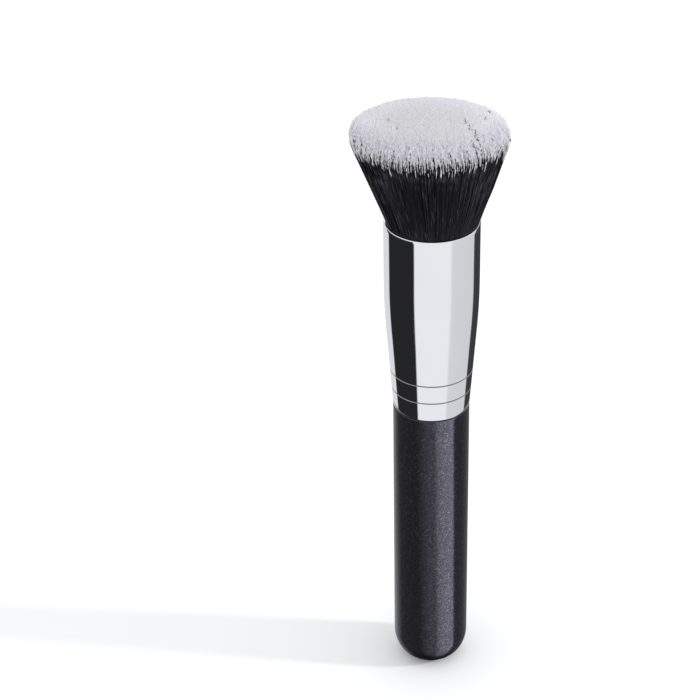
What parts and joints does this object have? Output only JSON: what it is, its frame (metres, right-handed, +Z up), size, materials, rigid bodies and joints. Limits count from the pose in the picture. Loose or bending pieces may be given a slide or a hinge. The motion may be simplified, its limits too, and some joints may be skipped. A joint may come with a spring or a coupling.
{
  "type": "makeup brush",
  "caption": "Large flat-top brush: flared bristles with white tips in a tapered metal ferrule on a straight, dome-ended handle, for blending liquid or powder on skin.",
  "frame": {"origin": "centre of the small flat at the handle's butt, on which the brush stands", "axes": "+Z up along the brush's axis, from the butt to the flat top of the bristles; X and Y across it, and the brush is round about Z"},
  "size_m": [0.0425, 0.0425, 0.1704],
  "materials": {
    "handle_lacquer": "satin",
    "tenon_adhesive": "satin",
    "ferrule_metal": "polished",
    "plug_resin": "gloss",
    "binding_cotton": "matte",
    "bristle_fibre": "satin"
  },
  "bodies": {
    "root": {"handle": "handle_lacquer", "tenon_glue": "tenon_adhesive", "ferrule": "ferrule_metal", "epoxy_plug": "plug_resin", "binding_thread": "binding_cotton", "bristle_bundle": "bristle_fibre"}
  },
  "joints": []
}
